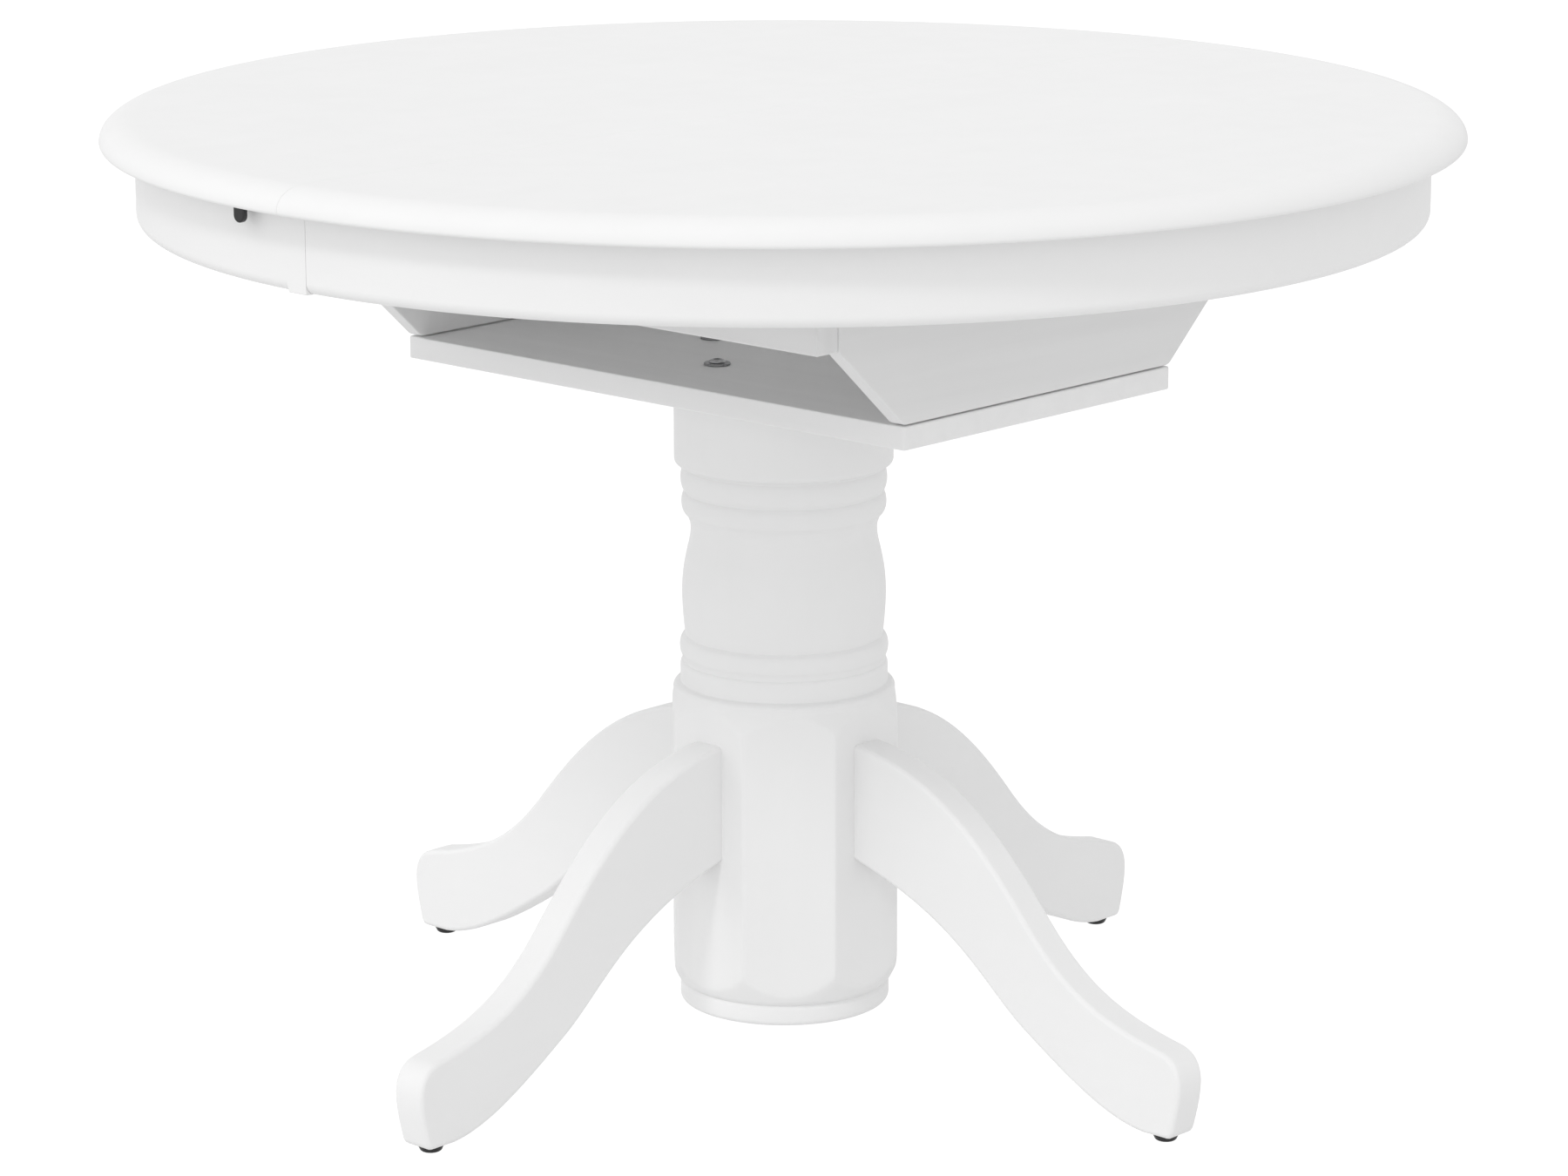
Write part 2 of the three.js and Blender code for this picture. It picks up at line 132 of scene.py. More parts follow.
def painted(name, color, roughness, stretch, grain, streak, peel=0.00002):
    """Sprayed paint on wood: faint grain under it, orange peel on it and slightly uneven gloss."""
    tree = Tree(name)
    fibre = tree.noise(60, 6, stretch, 0.6)
    cloud = tree.noise(9, 3)
    tone = tree.blend(tree.spread(fibre, 0, 1), shade(color, 1 - streak), color)
    mixed = tree.nodes.new("ShaderNodeMix")
    mixed.data_type = "RGBA"
    mixed.blend_type = "MULTIPLY"
    mixed.inputs["Factor"].default_value = 1.0
    tree.links.new(tone, mixed.inputs["A"])
    tree.links.new(tree.blend(tree.spread(cloud, 0, 1), (0.988,) * 3, (1, 1, 1)), mixed.inputs["B"])
    tree.set("Base Color", mixed.outputs["Result"])
    tree.set("Roughness", tree.spread(tree.noise(35, 4), roughness - 0.04, roughness + 0.05))
    tree.set("Specular IOR Level", 0.4)
    normal = tree.bump(fibre, grain)
    tree.set("Normal", tree.bump(tree.noise(420, 2), peel, normal))
    return tree.material


def metal(name, color, roughness, stretch=(1, 1, 1), scale=500, scratch=0.00001):
    """Plated or blackened steel with fine scratches and slightly uneven gloss."""
    tree = Tree(name)
    fine = tree.noise(scale, 4, stretch)
    tree.set("Metallic", 1.0)
    tree.set("Base Color", tree.blend(tree.spread(fine, 0, 1), shade(color, 0.82), color))
    tree.set("Roughness", tree.spread(tree.noise(140, 3), roughness - 0.08, roughness + 0.1))
    tree.set("Normal", tree.bump(fine, scratch))
    return tree.material


def plastic(name, color, roughness):
    """Moulded plastic with a fine texture."""
    tree = Tree(name)
    grain = tree.noise(900, 3)
    cloud = tree.spread(tree.noise(60, 2), 0, 1)
    tree.set("Base Color", tree.blend(cloud, shade(color, 0.8), color))
    tree.set("Roughness", tree.spread(grain, roughness - 0.06, roughness + 0.08))
    tree.set("Normal", tree.bump(grain, 0.00003))
    return tree.material


LACQUER = (0.845, 0.845, 0.845)
# The frame's white paint made lighter than its own tone. This is painted light: it brightens the
# plate and runners, which sit in shade under the top.
FRAME_PAINT_WITH_PAINTED_LIGHT = (0.885, 0.885, 0.885)
# A darker copy of the same white frame paint. This is painted shade on the rails and cross boards
# under the top.
BOARD_PAINT_WITH_PAINTED_SHADE = (0.80, 0.80, 0.80)
ALONG_X, ALONG_Y, ALONG_Z = (0.05, 1, 1), (1, 0.05, 1), (1, 1, 0.05)
LACQUERED = {"roughness": 0.38, "grain": 0.00003, "streak": 0.006}
SPRAYED = {"roughness": 0.55, "grain": 0.00012, "streak": 0.03}
CUT_ENDS = {"roughness": 0.65, "grain": 0.00025, "streak": 0.08}

lacquer_x = painted("lacquer_grain_x", LACQUER, stretch=ALONG_X, **LACQUERED)
lacquer_y = painted("lacquer_grain_y", LACQUER, stretch=ALONG_Y, **LACQUERED)
lacquer_z = painted("lacquer_grain_z", LACQUER, stretch=ALONG_Z, **LACQUERED)
# The plate and runner material and the cut-end material carry the lightened frame tone, which is
# painted light.
frame_painted_light_x = painted("frame_paint_painted_light_grain_x", FRAME_PAINT_WITH_PAINTED_LIGHT, stretch=ALONG_X, **SPRAYED)
# The rail and cross-board materials carry the darkened frame tone, which is painted shade.
rail_painted_shade_x = painted("rail_paint_painted_shade_grain_x", BOARD_PAINT_WITH_PAINTED_SHADE, stretch=ALONG_X, **SPRAYED)
board_painted_shade_y = painted("board_paint_painted_shade_grain_y", BOARD_PAINT_WITH_PAINTED_SHADE, stretch=ALONG_Y, **SPRAYED)
frame_end = painted("frame_paint_end_grain", shade(FRAME_PAINT_WITH_PAINTED_LIGHT, 0.93), stretch=ALONG_Z, **CUT_ENDS)
dark_steel = metal("dark_steel", (0.20, 0.20, 0.205), 0.38)
washer_steel = metal("washer_steel", (0.40, 0.40, 0.41), 0.34)
bolt_steel = metal("bolt_steel", (0.62, 0.62, 0.63), 0.42)
zinc = metal("zinc_plated_steel", (0.62, 0.62, 0.64), 0.3, (1, 1, 0.2))
glide_black = plastic("glide_black_plastic", (0.012, 0.012, 0.013), 0.42)
thumb_black = plastic("latch_black_plastic", (0.02, 0.02, 0.022), 0.4)


# ---------------------------------------------------------------- mesh tools
def arc(cx, cy, rx, ry, start, end, steps):
    """Points of an elliptical arc between two angles in degrees."""
    angles = [math.radians(start + (end - start) * i / steps) for i in range(steps + 1)]
    return [(cx + rx * math.cos(a), cy + ry * math.sin(a)) for a in angles]


def bezier(p0, p1, p2, p3, steps):
    """Points of a cubic curve after its first point."""
    points = []
    for i in range(1, steps + 1):
        t = i / steps
        w = ((1 - t) ** 3, 3 * t * (1 - t) ** 2, 3 * t * t * (1 - t), t ** 3)
        points.append(tuple(sum(k * p[j] for k, p in zip(w, (p0, p1, p2, p3))) for j in (0, 1)))
    return points


def smooth_line(points, steps):
    """A smooth curve through points."""
    padded = [points[0], *points, points[-1]]
    result = [points[0]]
    for a, b, c, d in zip(padded, padded[1:], padded[2:], padded[3:]):
        handles = [tuple(b[j] + (c[j] - a[j]) / 6 for j in (0, 1)),
                   tuple(c[j] - (d[j] - b[j]) / 6 for j in (0, 1))]
        result += bezier(b, *handles, c, steps)
    return result


def rounded(corners, steps=5):
    """An outline from (x, y, radius) corners, each corner cut to a round."""
    points = []
    count = len(corners)
    for i, (x, y, radius) in enumerate(corners):
        here = Vector((x, y))
        before = (Vector(corners[i - 1][:2]) - here).normalized()
        after = (Vector(corners[(i + 1) % count][:2]) - here).normalized()
        if radius <= 0:
            points.append((x, y))
            continue
        half = before.angle(after) / 2
        centre = here + (before + after).normalized() * (radius / math.sin(half))
        first = here + before * (radius / math.tan(half)) - centre
        second = here + after * (radius / math.tan(half)) - centre
        for k in range(steps + 1):
            mixed = first.slerp(second, k / steps)
            points.append(tuple(centre + mixed * radius))
    return points


def signed_area(points):
    return 0.5 * sum(a[0] * b[1] - b[0] * a[1] for a, b in zip(points, points[1:] + points[:1]))


def inset(points, distance, keep=()):
    """The outline moved inwards by distance. Edges in keep, by the index of their start, stay."""
    count = len(points)
    normals = []
    for i in range(count):
        a, b = points[i], points[(i + 1) % count]
        length = math.hypot(b[0] - a[0], b[1] - a[1])
        normals.append((-(b[1] - a[1]) / length, (b[0] - a[0]) / length))
    moved = []
    for i, (x, y) in enumerate(points):
        (ax, ay), (bx, by) = normals[i - 1], normals[i]
        da = 0 if (i - 1) % count in keep else distance
        db = 0 if i in keep else distance
        cross = ax * by - ay * bx
        if abs(cross) < 0.02:
            moved.append((x + ax * (da + db) / 2, y + ay * (da + db) / 2))
        else:
            moved.append((x + (da * by - db * ay) / cross, y + (db * ax - da * bx) / cross))
    return moved


def slab(outline, start, end, radius, steps=4, keep=()):
    """An outline extruded from start to end, its rim rounded. Gives (u, v, w) points, w along the
    extrusion, faces, and the two flat faces' indices."""
    points = list(outline)
    if signed_area(points) < 0:
        points.reverse()
        keep = {(len(points) - 2 - k) % len(points) for k in keep}
    turns = [math.radians(90 * k / steps) for k in range(steps + 1)] if radius else [0]
    layers = [(start + radius * (1 - math.cos(a)), radius * (1 - math.sin(a))) for a in turns]
    layers += [(end - (w - start), d) for w, d in reversed(layers)]
    verts, faces = [], []
    count = len(points)
    for w, d in layers:
        verts += [(u, v, w) for u, v in inset(points, d, keep)]
    for row in range(len(layers) - 1):
        base = row * count
        for i in range(count):
            j = (i + 1) % count
            faces.append((base + i, base + j, base + count + j, base + count + i))
    faces.append(tuple(reversed(range(count))))
    faces.append(tuple(range((len(layers) - 1) * count, len(layers) * count)))
    return verts, faces, (len(faces) - 2, len(faces) - 1)


def turned(profile, angles, closed_turn=True, closed_profile=False):
    """A turned shell. The profile is (radius, height) points; a point may be a function of the
    angle. Open turns get a flat face at each end."""
    verts, faces = [], []
    rows = len(profile)
    for angle in angles:
        c, s = math.cos(angle), math.sin(angle)
        for r, z in profile:
            radius = r(angle) if callable(r) else r
            verts.append((radius * c, radius * s, z))
    columns = len(angles)
    for col in range(columns if closed_turn else columns - 1):
        here, there = col * rows, (col + 1) % columns * rows
        for i in range(rows if closed_profile else rows - 1):
            j = (i + 1) % rows
            faces.append((here + i, there + i, there + j, here + j))
    if not closed_turn:
        faces.append(tuple(range(rows)))
        faces.append(tuple(reversed(range((columns - 1) * rows, columns * rows))))
    return verts, faces


def even(count, start=0.0, end=360.0, closed=True):
    """Evenly spaced angles in radians."""
    steps = count if closed else count - 1
    return [math.radians(start + (end - start) * i / steps) for i in range(count)]


def make(name, shape, body, materials, stands_for=(), turn=0.0, offset=(0, 0, 0),
         order=(0, 1, 2), sharp=32.0, bevel=0.0, even_normals=True, end_faces=()):
    """Makes a piece from vertices in millimetres and faces, and puts it on its body."""
    verts, faces = shape[:2]
    mesh = bpy.data.meshes.new(name)
    placed = [tuple((v[order[k]] + offset[k]) * MM for k in range(3)) for v in verts]
    mesh.from_pydata(placed, [], faces)
    for index in end_faces:
        mesh.polygons[index].material_index = 1
    work = bmesh.new()
    work.from_mesh(mesh)
    bmesh.ops.remove_doubles(work, verts=work.verts, dist=1e-6)
    bmesh.ops.dissolve_degenerate(work, edges=work.edges, dist=1e-7)
    bmesh.ops.recalc_face_normals(work, faces=work.faces)
    work.to_mesh(mesh)
    work.free()
    mesh.shade_smooth()
    if not bevel:
        mesh.set_sharp_from_angle(angle=math.radians(sharp))
    piece = bpy.data.objects.new(name, mesh)
    bpy.context.scene.collection.objects.link(piece)
    for material in materials:
        mesh.materials.append(material)
    piece.rotation_euler = (0, 0, math.radians(turn))
    if bevel:
        add_bevel(piece, bevel)
    if even_normals:
        piece.modifiers.new("even_normals", "WEIGHTED_NORMAL").keep_sharp = True
    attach(piece, body)
    if stands_for:
        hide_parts(*stands_for)
    return piece


def add_bevel(piece, width, segments=2, angle=50):
    modifier = piece.modifiers.new("soft_edges", "BEVEL")
    modifier.width = width * MM
    modifier.segments = segments
    modifier.limit_method = "ANGLE"
    modifier.angle_limit = math.radians(angle)
    modifier.harden_normals = True
    modifier.use_clamp_overlap = True


def finish_node(node, material, bevel=0.4):
    """Gives a CAD node its material and soft edges."""
    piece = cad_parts[node]
    piece.data.materials.clear()
    piece.data.materials.append(material)
    weld = piece.modifiers.new("weld", "WELD")
    weld.merge_threshold = 1e-5
    if bevel:
        add_bevel(piece, bevel)


# ---------------------------------------------------------------- column
COLUMN_TOP = high("column")[2]
COLUMN_FOOT = low("column")[2]
FLAT = high("column")[0]  # axis to the flats of the block
ARRIS = 0.5  # softness of the block's edges
BORE_RADIUS, BORE_TOP = 45, 262
SECTOR_STEPS = 32


def block_radius(envelope):
    """Radius of the octagonal block, limited by the turned envelope, with soft edges."""
    def radius(angle):
        values = [envelope]
        for k in range(8):
            cosine = math.cos(angle - k * math.pi / 4)
            if cosine > 0.6:
                values.append(FLAT / cosine)
        least = min(values)
        return least - ARRIS * math.log(sum(math.exp((least - v) / ARRIS) for v in values))
    return radius


def column_profile():
    block_corner = FLAT / math.cos(math.pi / 8)
    base = [(0, BORE_TOP), (BORE_RADIUS, BORE_TOP), (BORE_RADIUS, COLUMN_FOOT + 1)]
    base += [(BORE_RADIUS + 1, COLUMN_FOOT), (79.4, COLUMN_FOOT)]
    base += arc(79.4, COLUMN_FOOT + 4.8, 4.8, 4.8, -80, 0, 6)
    base += [(84.2, 43.2), (83.8, 44.6), (82.9, 45.4), (82.6, 46.4), (83.2, 47.3)]
    flare = smooth_line([(84.6, 47.8), (86.8, 50.6), (89.4, 55.8), (93.2, 63.6), (96.2, 71.5),
                         (99.0, 80)], 7)
    top = smooth_line([(99.0, 256), (97.4, 265), (94.6, 273.4), (91.6, 280), (89.2, 285.4),
                       (88.7, 288.4)], 7)
    ring = arc(84.2, 289.3, 4.5, 5.0, 5, 84, 7)
    ring += [(83.2, 295.2), (82.8, 296.6), (82.8, 307.5)]
    ring += arc(80.4, 307.5, 2.4, 4.6, 15, 75, 5)
    bead3 = arc(79.3, 323.6, 3.9, 8.6, -62, 62, 12)
    belly = smooth_line([(78.9, 333.2), (80.1, 345), (81.0, 359), (81.2, 371), (80.0, 386),
                         (77.4, 400), (75.0, 410.5), (74.1, 418), (74.6, 424), (76.6, 429.6)], 5)
    bead2 = arc(77.0, 440.7, 4.4, 9.4, -64, 64, 12)
    bead1 = arc(77.8, 460.0, 4.2, 10.4, -60, 60, 12)
    collar = [(80.4, 470.6), (82.4, 471.4)]
    collar += arc(82.4, 476.2, 4.6, 4.6, -75, 0, 6)
    collar += [(87.0, COLUMN_TOP - 0.6), (86.4, COLUMN_TOP), (0, COLUMN_TOP)]
    straight = [(block_corner + 3, z) for z in (120, 170, 220)]
    blocked = [(block_radius(r), z) for r, z in flare + straight + top]
    return base + blocked + ring + bead3 + belly + bead2 + bead1 + collar


def column_angles():
    """Closer together at the block's eight edges."""
    angles = []
    for sector in range(8):
        for k in range(SECTOR_STEPS):
            place = math.sin(math.radians(-90 + 180 * k / SECTOR_STEPS))
            angles.append(math.radians(45 * sector + 22.5 * place))
    return angles


make("turned_column", turned(column_profile(), column_angles()), PEDESTAL, [lacquer_z],
     ["column"], even_normals=False, sharp=40)

# ---------------------------------------------------------------- legs and glides
LEG_HALF = high("leg_front")[0]
LEG_ROUND = 4.0
LEG_ROOT = FLAT + 0.05
SOLE = low("leg_right")[2]
GLIDE_X = (low("glide_right")[0] + high("glide_right")[0]) / 2


def leg_outline():
    """Side view of a leg: x out from the column, y up."""
    line = [(LEG_ROOT, 258)]
    line += bezier(line[-1], (169.5, 250), (217, 205), (262, 153), 22)
    line += bezier(line[-1], (300, 108), (330, 88), (400, 74.5), 18)
    line += bezier(line[-1], (411, 72), (418.6, 65), (419.5, 50), 9)
    line += bezier(line[-1], (420, 38), (416, 24), (413, 12), 5)
    line += bezier(line[-1], (412, 8.4), (410, SOLE), (407, SOLE), 4)
    line += bezier(line[-1], (399, SOLE), (391, SOLE), (384, SOLE), 3)
    line += bezier(line[-1], (350, 9), (315, 29), (270, 58), 18)
    line += bezier(line[-1], (223, 86.5), (202, 132.5), (LEG_ROOT, 163.5), 18)
    return line


GLIDE_TOP = SOLE - 0.2
GLIDE_LINE = [(0, 0)]
GLIDE_LINE += arc(5.4, 3.2, 3.6, 3.2, -90, -8, 8)
GLIDE_LINE += arc(8.6, 4.4, 1.2, 1.2, -40, 80, 6)
GLIDE_LINE += [(8.2, GLIDE_TOP), (0, GLIDE_TOP)]
LEG_LINE = leg_outline()
for place, turn in PLACES.items():
    shape = slab(LEG_LINE, -LEG_HALF, LEG_HALF, LEG_ROUND, 6, keep={len(LEG_LINE) - 1})
    make(f"curved_leg_{place}", shape, PEDESTAL, [lacquer_x], [f"leg_{place}"],
         turn=turn, order=(0, 2, 1))
    angle = math.radians(turn)
    centre = (GLIDE_X * math.cos(angle), GLIDE_X * math.sin(angle), 0)
    make(f"domed_glide_{place}", turned(GLIDE_LINE, even(48)), PEDESTAL, [glide_black],
         [f"glide_{place}"], offset=centre, even_normals=False)

# ---------------------------------------------------------------- plate, its bolts and washers
PLATE_CORNER, PLATE_EDGE = 2.5, 1.2  # roundings seen from above and from the side
WASHER_HOLE = 4.6
HEAD_RADIUS = 6.3
SOCKET, SOCKET_DEPTH = 2.8, 2.2  # half the width across the flats, and the depth
plate_low, plate_high = low("mounting_plate"), high("mounting_plate")
plate_corners = [(plate_low[0], plate_low[1]), (plate_high[0], plate_low[1]),
                 (plate_high[0], plate_high[1]), (plate_low[0], plate_high[1])]
corners = [(x, y, PLATE_CORNER) for x, y in plate_corners]
make("base_plate", slab(rounded(corners, 6), plate_low[2], plate_high[2], PLATE_EDGE, 4), PEDESTAL,
     [frame_painted_light_x], ["mounting_plate"])


def hex_socket_head(radius, bottom, height, socket, depth):
    """A button head with a hexagonal socket, as a turned shell whose inner rings are hexagons."""
    def hexagon(angle):
        sixth = math.pi / 3
        return socket / math.cos((angle % sixth) - sixth / 2)
    top = bottom + height
    profile = [(0, bottom), (radius - 0.5, bottom), (radius, bottom + 0.6)]
    profile += arc(radius * 0.42, bottom + 0.8, radius * 0.58, height - 0.8, 12, 84, 8)
    profile += [(lambda a: hexagon(a) + 0.35, top), (hexagon, top - 0.35), (hexagon, top - depth),
                (0, top - depth - 0.6)]
    return profile


for place in PLACES:
    for kind in ("plate_washer", "plate_bolt"):
        node = f"{kind}_{place}"
        a, b = low(node), high(node)
        centre = ((a[0] + b[0]) / 2, (a[1] + b[1]) / 2, 0)
        if kind == "plate_washer":
            outer = (b[0] - a[0]) / 2
            ring = [(WASHER_HOLE, a[2]), (outer - 0.4, a[2]), (outer, a[2] + 0.4),
                    (outer, b[2] - 0.4), (outer - 0.4, b[2]), (WASHER_HOLE, b[2])]
            make(f"flat_washer_{place}", turned(ring, even(64), closed_profile=True), PEDESTAL,
                 [washer_steel], [node], offset=centre)
        else:
            head_bottom = high(f"plate_washer_{place}")[2]
            height = b[2] - head_bottom - 0.9
            head = hex_socket_head(HEAD_RADIUS, head_bottom + 0.05, height, SOCKET, SOCKET_DEPTH)
            make(f"socket_bolt_{place}", turned(head, even(96)), PEDESTAL, [bolt_steel],
                 [node], offset=centre, sharp=40)

# ---------------------------------------------------------------- rails and cross boards
GROOVES = ((711.65, 720.75), (683.65, 692.75))  # bottom and top of each groove
GROOVE_DEPTH = 9.4
BOARD_FOOT = 155  # half the length of a cross board's lower edge

for side, sign in (("front", -1), ("back", 1)):
    node = f"rail_{side}"
    a, b = low(node), high(node)
    inner, outer = (b[1], a[1]) if sign < 0 else (a[1], b[1])
    groove_floor = outer - sign * GROOVE_DEPTH
    line = [(inner, a[2]), (inner, b[2]), (outer, b[2])]
    for bottom, top in GROOVES:
        line += [(outer, top), (groove_floor, top), (groove_floor, bottom), (outer, bottom)]
    line += [(outer, a[2])]
    shape = slab(line, a[0], b[0], 0)
    make(f"grooved_{node}", shape, PEDESTAL, [rail_painted_shade_x, frame_end], [node],
         order=(2, 0, 1), end_faces=shape[2], bevel=1.6)

for side in ("left", "right"):
    node = f"cross_board_{side}"
    a, b = low(node), high(node)
    line = [(BOARD_FOOT, a[2], 9), (b[1], low("rail_front")[2], 6), (b[1], b[2], 1.5)]
    line += [(-y, z, r) for y, z, r in reversed(line)]
    make(f"tapered_{node}", slab(rounded(line, 7), a[0], b[0], 1.4, 4), PEDESTAL, [board_painted_shade_y],
         [node], order=(2, 0, 1))

# ---------------------------------------------------------------- half tops
TOP_LOW, TOP_HIGH = low("top_half_left")[2], high("top_half_left")[2]
TOP_RADIUS = high("top_half_right")[0]
EDGE_RUN = 26  # width of the rounding on the upper edge
EDGE_LOW = 3  # rounding of the lower edge
HALF_GAP = 0.1  # each half stands this far from the split


def half_turn(sign, step=0.75):
    """Angles over one half of the table."""
    start = -90 if sign > 0 else 90
    return even(int(180 / step) + 1, start, start + 180, closed=False)


def top_profile():
    edge_rise = TOP_HIGH - TOP_LOW - EDGE_LOW
    points = [(0, TOP_LOW), (TOP_RADIUS - 60, TOP_LOW)]
    points += arc(TOP_RADIUS - EDGE_LOW, TOP_LOW + EDGE_LOW, EDGE_LOW, EDGE_LOW, -90, 0, 6)
    points += arc(TOP_RADIUS - EDGE_RUN, TOP_LOW + EDGE_LOW, EDGE_RUN, edge_rise, 4, 90, 22)
    points += [(TOP_RADIUS - 60, TOP_HIGH), (0, TOP_HIGH)]
    return points


for side, sign, body in (("left", -1, LEFT), ("right", 1, RIGHT)):
    make(f"table_top_{side}", turned(top_profile(), half_turn(sign), closed_turn=False), body,
         [lacquer_y], [f"top_half_{side}"], offset=(sign * HALF_GAP, 0, 0),
         bevel=0.15)

# ---------------------------------------------------------------- aprons
APRON_LOW, APRON_HIGH = low("apron_right")[2], high("apron_right")[2]
APRON_RADIUS = high("apron_right")[0]
APRON_THICKNESS = 16
APRON_ROUND = 9.0
SQUARE_END = 19  # the last stretch of one end keeps a square lower corner


def apron(sign):
    """Half a ring. At one end the rounded lower corner runs out into a square one."""
    start = -90 if sign > 0 else 90
    inner = APRON_RADIUS - APRON_THICKNESS
    ends = np.array([0, SQUARE_END, SQUARE_END + 1.2, SQUARE_END + 2.6]) / APRON_RADIUS
    fine = [math.degrees(e) for e in ends]
    turns = fine + list(np.linspace(fine[-1] + 0.4, 180, 240))
    lows = [1.0, 1.0, APRON_ROUND * 0.6] + [APRON_ROUND] * (len(turns) - 3)
    gap = math.degrees(HALF_GAP * 2 / APRON_RADIUS)
    verts, faces = [], []
    steps = 8
    for turn, radius in zip(turns, lows):
        place = start + 180 - turn
        place = min(max(place, start + gap), start + 180 - gap)
        c, s = math.cos(math.radians(place)), math.sin(math.radians(place))
        profile = [(inner, APRON_LOW + 1.5), (inner + 0.45, APRON_LOW + 0.45)]
        profile += [(inner + 1.5, APRON_LOW)]
        profile += arc(APRON_RADIUS - radius, APRON_LOW + radius, radius, radius, -90, 0, steps)
        profile += [(APRON_RADIUS, APRON_HIGH), (inner, APRON_HIGH)]
        verts += [(r * c, r * s, z) for r, z in profile]
        rows = len(profile)
    for col in range(len(turns) - 1):
        here, there = col * rows, (col + 1) * rows
        for i in range(rows):
            j = (i + 1) % rows
            faces.append((here + i, there + i, there + j, here + j))
    faces.append(tuple(range(rows)))
    faces.append(tuple(reversed(range((len(turns) - 1) * rows, len(turns) * rows))))
    return verts, faces


for side, sign, body in (("left", -1, LEFT), ("right", 1, RIGHT)):
    make(f"curved_apron_{side}", apron(sign), body, [lacquer_x],
         [f"apron_{side}"], sharp=40)

# ---------------------------------------------------------------- latches
THUMB_HALF = 5.4
THUMB_TO_FRONT, THUMB_TO_BACK = 1.2, 3.6  # how far it reaches along -Y and +Y from the tab's face
THUMB_CLEARANCE = 1.2  # below the tabletop

for side, sign in (("front", -1), ("back", 1)):
    lever = f"latch_lever_{side}"
    finish_node(lever, dark_steel, 0.5)
    pivot_low, pivot_high = low(f"latch_pivot_{side}"), high(f"latch_pivot_{side}")
    x = (pivot_low[0] + pivot_high[0]) / 2
    tab_low, tab_high = low(lever), high(lever)
    face = tab_low[1] if sign < 0 else tab_high[1]
    top = TOP_LOW - THUMB_CLEARANCE
    line = [(x + THUMB_HALF, top), (x - THUMB_HALF, top)]
    line += arc(x, tab_low[2] + THUMB_HALF, THUMB_HALF, THUMB_HALF, 180, 360, 16)
    thumb = slab(line, face - THUMB_TO_FRONT, face + THUMB_TO_BACK, 1.1, 4)
    make(f"latch_thumb_{side}", thumb, LATCH_BODY[side], [thumb_black],
         order=(0, 2, 1))

# ---------------------------------------------------------------- carried-over nodes
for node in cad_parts:
    if node.startswith(("runner", "apron_block")):
        finish_node(node, frame_painted_light_x if node.startswith("runner") else lacquer_x, 0.8)
    elif node.startswith("leaf_wing"):
        finish_node(node, lacquer_x, 0.8)
    elif node.startswith("leaf_hinge"):
        finish_node(node, zinc, 0.3)
    elif node.startswith(("leg_bolt", "stop_pin", "alignment_pin", "latch_pivot", "latch_keeper")):
        finish_node(node, zinc, 0.3)

# ---------------------------------------------------------------- floor, light and camera
FLOOR_TONE, FLOOR_GLOW = 0.10, 1.0
BOUNCE_TONE, BOUNCE_GLOW, BOUNCE_DEPTH = 0.45, 0.43, -0.001
# How bright the studio is up to the sine of one elevation and from another on.
HORIZON_END, HORIZON = 0.28, 0.91
ABOVE_START, ABOVE = 0.42, 0.86
# Name, azimuth and elevation in degrees, strength, width in degrees.
LAMPS = (
    ("key", 14, 46, 0.50, 10),
    ("front", 36, 24, 0.22, 45),
    ("side", -40, 30, 0.28, 50),
)


def sheet_of_floor(name, tone, glow, depth):
    """A wide flat sheet, paper-like, with its own even glow."""
    reach = 40.0
    mesh = bpy.data.meshes.new(name)
    mesh.from_pydata([(-reach, -reach, depth), (reach, -reach, depth), (reach, reach, depth),
                      (-reach, reach, depth)], [], [(0, 1, 2, 3)])
    sheet = bpy.data.objects.new(name, mesh)
    bpy.context.scene.collection.objects.link(sheet)
    tree = Tree(f"{name}_paper")
    cloud = tree.spread(tree.noise(4, 2), 0, 1)
    tree.set("Base Color", tree.blend(cloud, (tone,) * 3, (tone + 0.01,) * 3))
    tree.set("Roughness", 0.9)
    tree.set("Specular IOR Level", 0.0)
    tree.set("Emission Color", (1, 1, 1, 1))
    tree.set("Emission Strength", glow)
    mesh.materials.append(tree.material)
    return sheet


# The white floor is what the camera sees. A darker sheet just under it lights the table, because
# a floor as bright as the white one would leave no shade under the top.
white_floor = sheet_of_floor("floor", FLOOR_TONE, FLOOR_GLOW, 0.0)
white_floor.visible_diffuse = False
white_floor.visible_glossy = False
bounce_floor = sheet_of_floor("floor_bounce", BOUNCE_TONE, BOUNCE_GLOW, BOUNCE_DEPTH)
bounce_floor.visible_camera = False

world = bpy.data.worlds.new("studio")
bpy.context.scene.world = world
world.use_nodes = True
sky = world.node_tree.nodes
sky.clear()
sky_links = world.node_tree.links
background = sky.new("ShaderNodeBackground")
background.inputs["Strength"].default_value = 1.0
outlook = sky.new("ShaderNodeTexCoord")
parts = sky.new("ShaderNodeSeparateXYZ")
height = sky.new("ShaderNodeMapRange")
height.inputs["From Min"].default_value = -1.0
ramp = sky.new("ShaderNodeValToRGB")
stops = ((HORIZON_END, HORIZON), (ABOVE_START, ABOVE))
while len(ramp.color_ramp.elements) < len(stops):
    ramp.color_ramp.elements.new(1.0)
for element, (sine, brightness) in zip(ramp.color_ramp.elements, stops):
    element.position = (sine + 1) / 2
    element.color = (brightness, brightness, brightness, 1)
sky_links.new(outlook.outputs["Generated"], parts.inputs["Vector"])
sky_links.new(parts.outputs["Z"], height.inputs["Value"])
sky_links.new(height.outputs["Result"], ramp.inputs["Fac"])
sky_links.new(ramp.outputs["Color"], background.inputs["Color"])
seen = sky.new("ShaderNodeBackground")
seen.inputs["Color"].default_value = (1, 1, 1, 1)
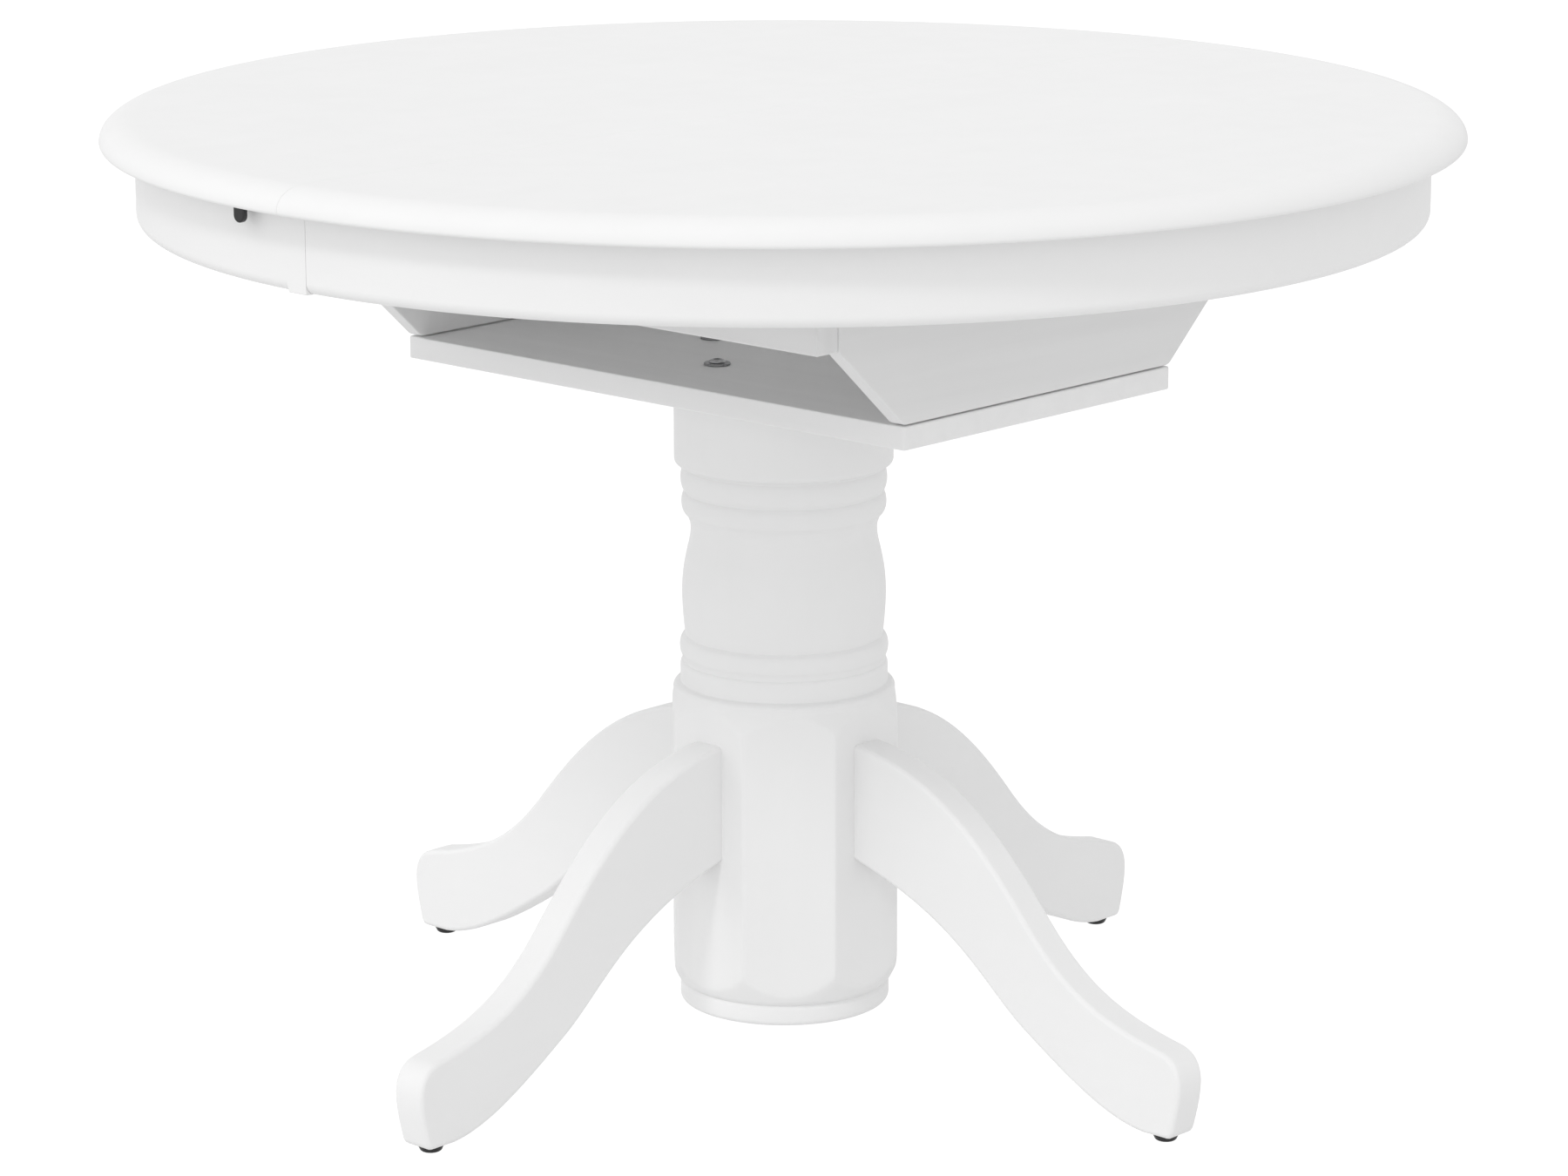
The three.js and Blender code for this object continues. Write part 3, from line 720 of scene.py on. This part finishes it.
seen.inputs["Strength"].default_value = 1.0
ray = sky.new("ShaderNodeLightPath")
chosen = sky.new("ShaderNodeMixShader")
world_output = sky.new("ShaderNodeOutputWorld")
sky_links.new(ray.outputs["Is Camera Ray"], chosen.inputs["Fac"])
sky_links.new(background.outputs["Background"], chosen.inputs[1])
sky_links.new(seen.outputs["Background"], chosen.inputs[2])
sky_links.new(chosen.outputs["Shader"], world_output.inputs["Surface"])

CAMERA_AZIMUTH = math.radians(42.76)
CAMERA_PITCH = math.radians(13.63)
CAMERA_ROLL = math.radians(-0.1)
CAMERA_DISTANCE, CAMERA_HEIGHT = 4.1458, 1.3739
outward = Vector((math.sin(CAMERA_AZIMUTH), -math.cos(CAMERA_AZIMUTH), 0))
rightward = Vector((math.cos(CAMERA_AZIMUTH), math.sin(CAMERA_AZIMUTH), 0))
upward = Vector((0, 0, 1))


def facing(azimuth, elevation):
    """Unit vector from the table. Azimuth 0 is along -Y and grows towards +X."""
    turn, rise = math.radians(azimuth), math.radians(elevation)
    flat = math.cos(rise)
    return Vector((math.sin(turn) * flat, -math.cos(turn) * flat, math.sin(rise)))


for name, azimuth, elevation, strength, width in LAMPS:
    light = bpy.data.lights.new(name, "SUN")
    light.energy = strength
    light.angle = math.radians(width)
    lamp = bpy.data.objects.new(name, light)
    bpy.context.scene.collection.objects.link(lamp)
    lamp.visible_glossy = False
    lamp.rotation_mode = "QUATERNION"
    lamp.rotation_quaternion = facing(azimuth, elevation).to_track_quat("Z", "Y")

camera_data = bpy.data.cameras.new("camera")
camera_data.lens = 123.0
camera_data.sensor_width = 36.0
camera_data.clip_end = 100
camera = bpy.data.objects.new("camera", camera_data)
bpy.context.scene.collection.objects.link(camera)
bpy.context.scene.camera = camera
camera.location = outward * CAMERA_DISTANCE + upward * CAMERA_HEIGHT
sight = -outward * math.cos(CAMERA_PITCH) - upward * math.sin(CAMERA_PITCH)
level_up = rightward.cross(sight)
camera_right = rightward * math.cos(CAMERA_ROLL) + level_up * math.sin(CAMERA_ROLL)
camera_up = camera_right.cross(sight)
camera.rotation_mode = "QUATERNION"
camera.rotation_quaternion = Matrix((camera_right, camera_up, -sight)).transposed().to_quaternion()

bpy.context.scene.view_settings.view_transform = "Standard"
bpy.context.scene.cycles.diffuse_bounces = 12
bpy.context.scene.cycles.max_bounces = 16
